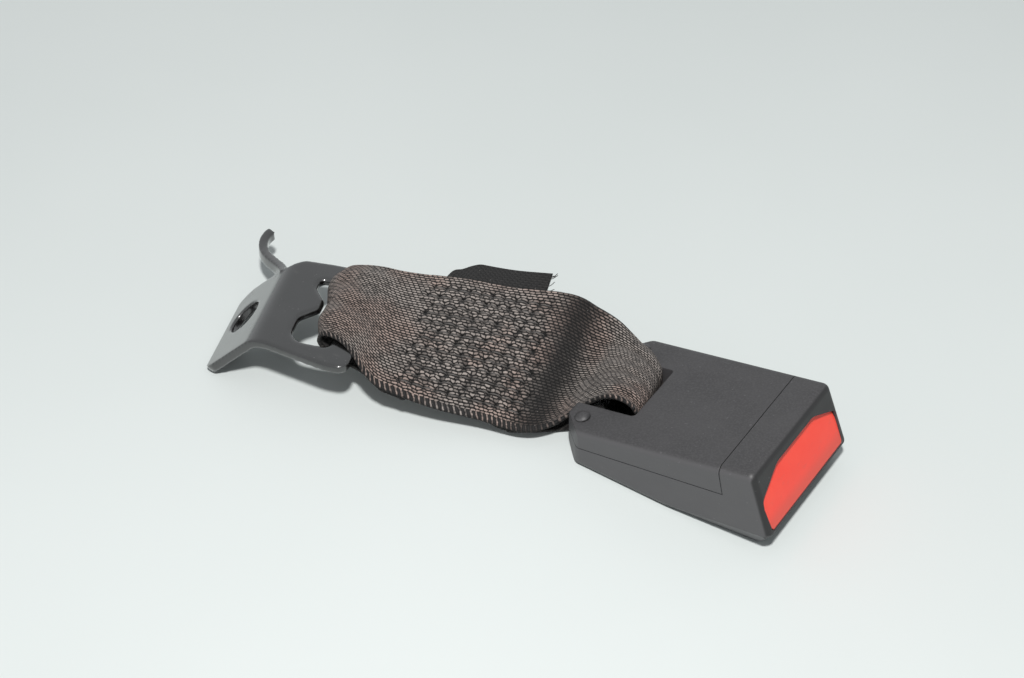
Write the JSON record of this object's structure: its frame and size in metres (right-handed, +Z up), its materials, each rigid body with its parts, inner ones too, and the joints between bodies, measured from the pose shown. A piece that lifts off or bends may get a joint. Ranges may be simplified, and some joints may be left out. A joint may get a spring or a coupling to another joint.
{
  "type": "seat belt buckle",
  "caption": "Seat belt buckle with a red release button on a short sewn webbing loop that joins it to a bent anchor plate with a bolt hole and a locating hook.",
  "frame": {"origin": "centre of the footprint of the whole object as it lies, on the surface it lies on", "axes": "+X along the buckle towards its release button, +Z up out of the surface, +Y to the far side"},
  "size_m": [0.2128, 0.0856, 0.03],
  "materials": {
    "black_plastic": "fine grain, slight sheen",
    "red_plastic": "smooth satin",
    "webbing": "woven polyester",
    "black_coated_steel": "glossy dip coat",
    "zinc_steel": "zinc plated",
    "polished_steel": "ground",
    "spring_steel": "drawn wire",
    "inner_plastic": "natural acetal"
  },
  "bodies": {
    "anchor": {"anchor_plate": "black_coated_steel"},
    "webbing": {"webbing": "webbing"},
    "release_button": {"release_button": "red_plastic", "release_slider": "inner_plastic"},
    "latch": {"latch_plate": "zinc_steel"},
    "ejector": {"ejector": "inner_plastic"},
    "inertia_lever": {"inertia_lever": "zinc_steel"},
    "buckle": {"lower_housing": "black_plastic", "upper_cover": "black_plastic", "buckle_frame": "zinc_steel", "web_bar_sleeve": "polished_steel", "rear_cover_pins": "black_coated_steel", "tongue_guide": "inner_plastic", "spring_carrier": "inner_plastic", "latch_pivot_pin": "polished_steel", "pivot_retaining_rings": "polished_steel", "latch_spring": "spring_steel", "inertia_pivot_pin": "polished_steel", "button_spring_left": "spring_steel", "button_spring_right": "spring_steel", "ejector_spring": "spring_steel"}
  },
  "joints": [
    {"name": "webbing_swivel", "type": "hinge", "parent": "anchor", "child": "webbing", "pos_m": [-0.04963, -0.01032, 0.0191], "axis": [-0.3156, 0.9489, 0], "range_deg": [-75, 45]},
    {"name": "buckle_swivel", "type": "hinge", "parent": "webbing", "child": "buckle", "pos_m": [0.03207, 0.01685, 0.0067], "axis": [0, 1, 0], "range_deg": [-50, 50]},
    {"name": "button_press", "type": "slide", "parent": "buckle", "child": "release_button", "axis": [-1, 0, 0], "range_m": [0, 0.006], "stiffness_N_per_m": 1500, "springref_m": -0.004, "deforming": ["button_spring_left", "button_spring_right"]},
    {"name": "latch_lift", "type": "hinge", "parent": "buckle", "child": "latch", "pos_m": [0.06297, 0.01685, 0.0115], "axis": [0, -1, 0], "range_deg": [0, 11.52], "deforming": ["latch_spring"]},
    {"name": "inertia_swing", "type": "hinge", "parent": "buckle", "child": "inertia_lever", "pos_m": [0.07897, 0.01685, 0.0215], "axis": [0, 1, 0], "range_deg": [0, 5.02]},
    {"name": "ejector_slide", "type": "slide", "parent": "buckle", "child": "ejector", "axis": [-1, 0, 0], "range_m": [0, 0.012], "stiffness_N_per_m": 500, "springref_m": -0.008, "deforming": ["ejector_spring"]}
  ],
  "couplings": [
    {"joint": "latch_lift", "follows": "button_press", "rad_per_m": 33.452},
    {"joint": "inertia_swing", "follows": "button_press", "rad_per_m": 14.544}
  ]
}
